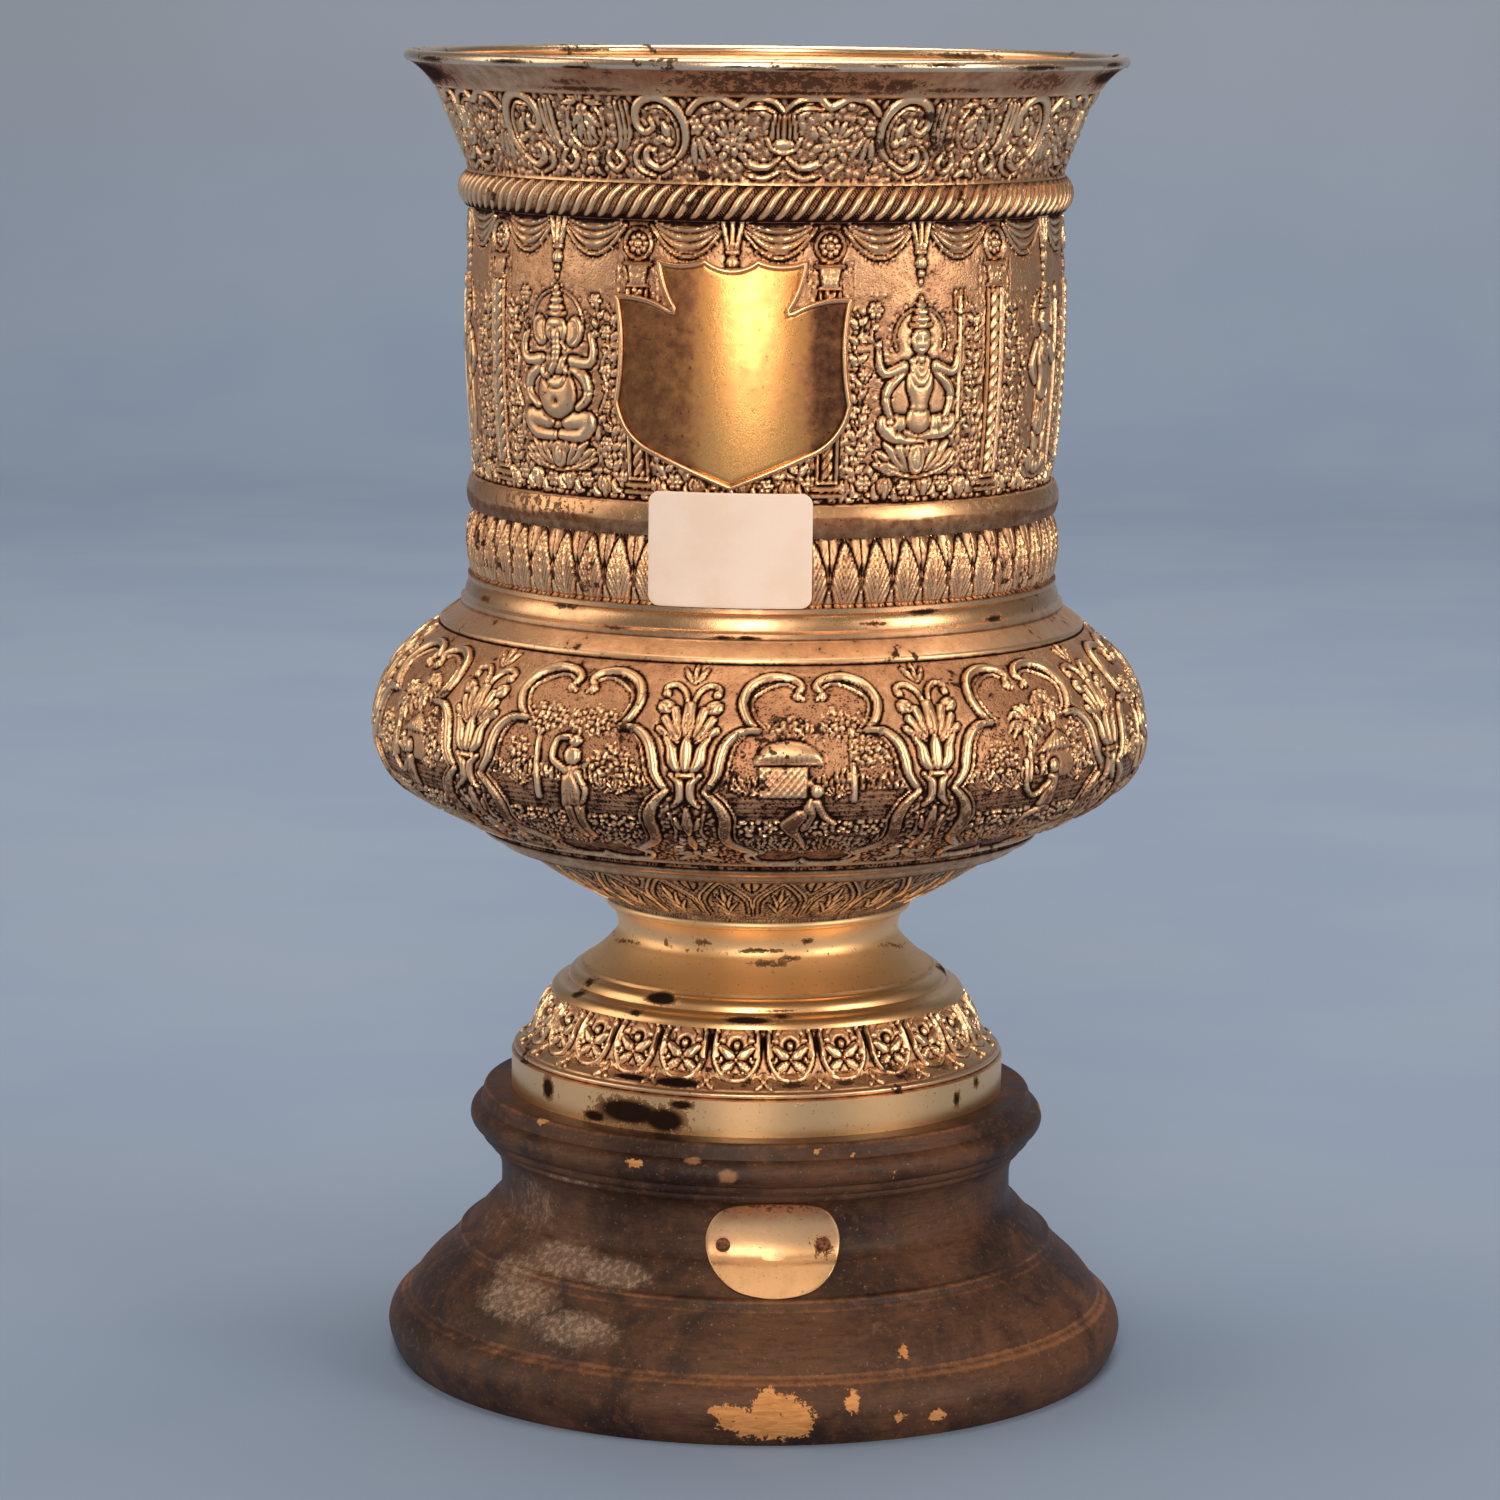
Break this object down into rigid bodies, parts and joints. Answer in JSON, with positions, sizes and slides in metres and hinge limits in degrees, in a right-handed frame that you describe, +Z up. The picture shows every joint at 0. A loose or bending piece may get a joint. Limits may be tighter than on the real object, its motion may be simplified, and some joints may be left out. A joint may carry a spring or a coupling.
{
  "type": "cup trophy",
  "caption": "Silver cup trophy that lifts off a turned wooden plinth: flared neck, chased barrel with a bare shield, wide bowl and spreading foot.",
  "frame": {"origin": "centre of the plinth's underside, on the surface that it stands on", "axes": "+Z up along the turning axis, -Y towards the shield on the barrel, +X to the right of someone who faces the shield"},
  "size_m": [0.1732, 0.1732, 0.2916],
  "materials": {
    "chased_silver": "chased silver with dark tarnish in the hollows",
    "plain_silver": "worn polished silver, warm tarnish",
    "gilt": "gilt silver, tarnished",
    "plaque_silver": "tarnished thin silver plate",
    "iron": "rusty iron",
    "paper": "matt white paper",
    "dark_wood": "dark stained wood, worn and chipped"
  },
  "bodies": {
    "root": {"plinth": "dark_wood", "plaque": "plaque_silver", "plaque_pins": "iron"},
    "cup": {"foot_rim": "plain_silver", "foot_dome": "chased_silver", "lower_step_ring": "plain_silver", "upper_step_ring": "plain_silver", "stem": "plain_silver", "stem_collar": "plain_silver", "calyx": "chased_silver", "bowl_wire": "plain_silver", "bowl": "chased_silver", "shoulder_ring": "plain_silver", "leaf_band": "chased_silver", "barrel_ring": "plain_silver", "barrel": "chased_silver", "rope_band": "chased_silver", "neck_flare": "chased_silver", "lip_wire": "plain_silver", "shield_plate": "gilt", "shield_border": "chased_silver", "paper_label": "paper"}
  },
  "joints": [
    {"name": "cup_lift", "type": "slide", "parent": "root", "child": "cup", "axis": [0, 0, 1], "range_m": [0, 0.1]}
  ]
}
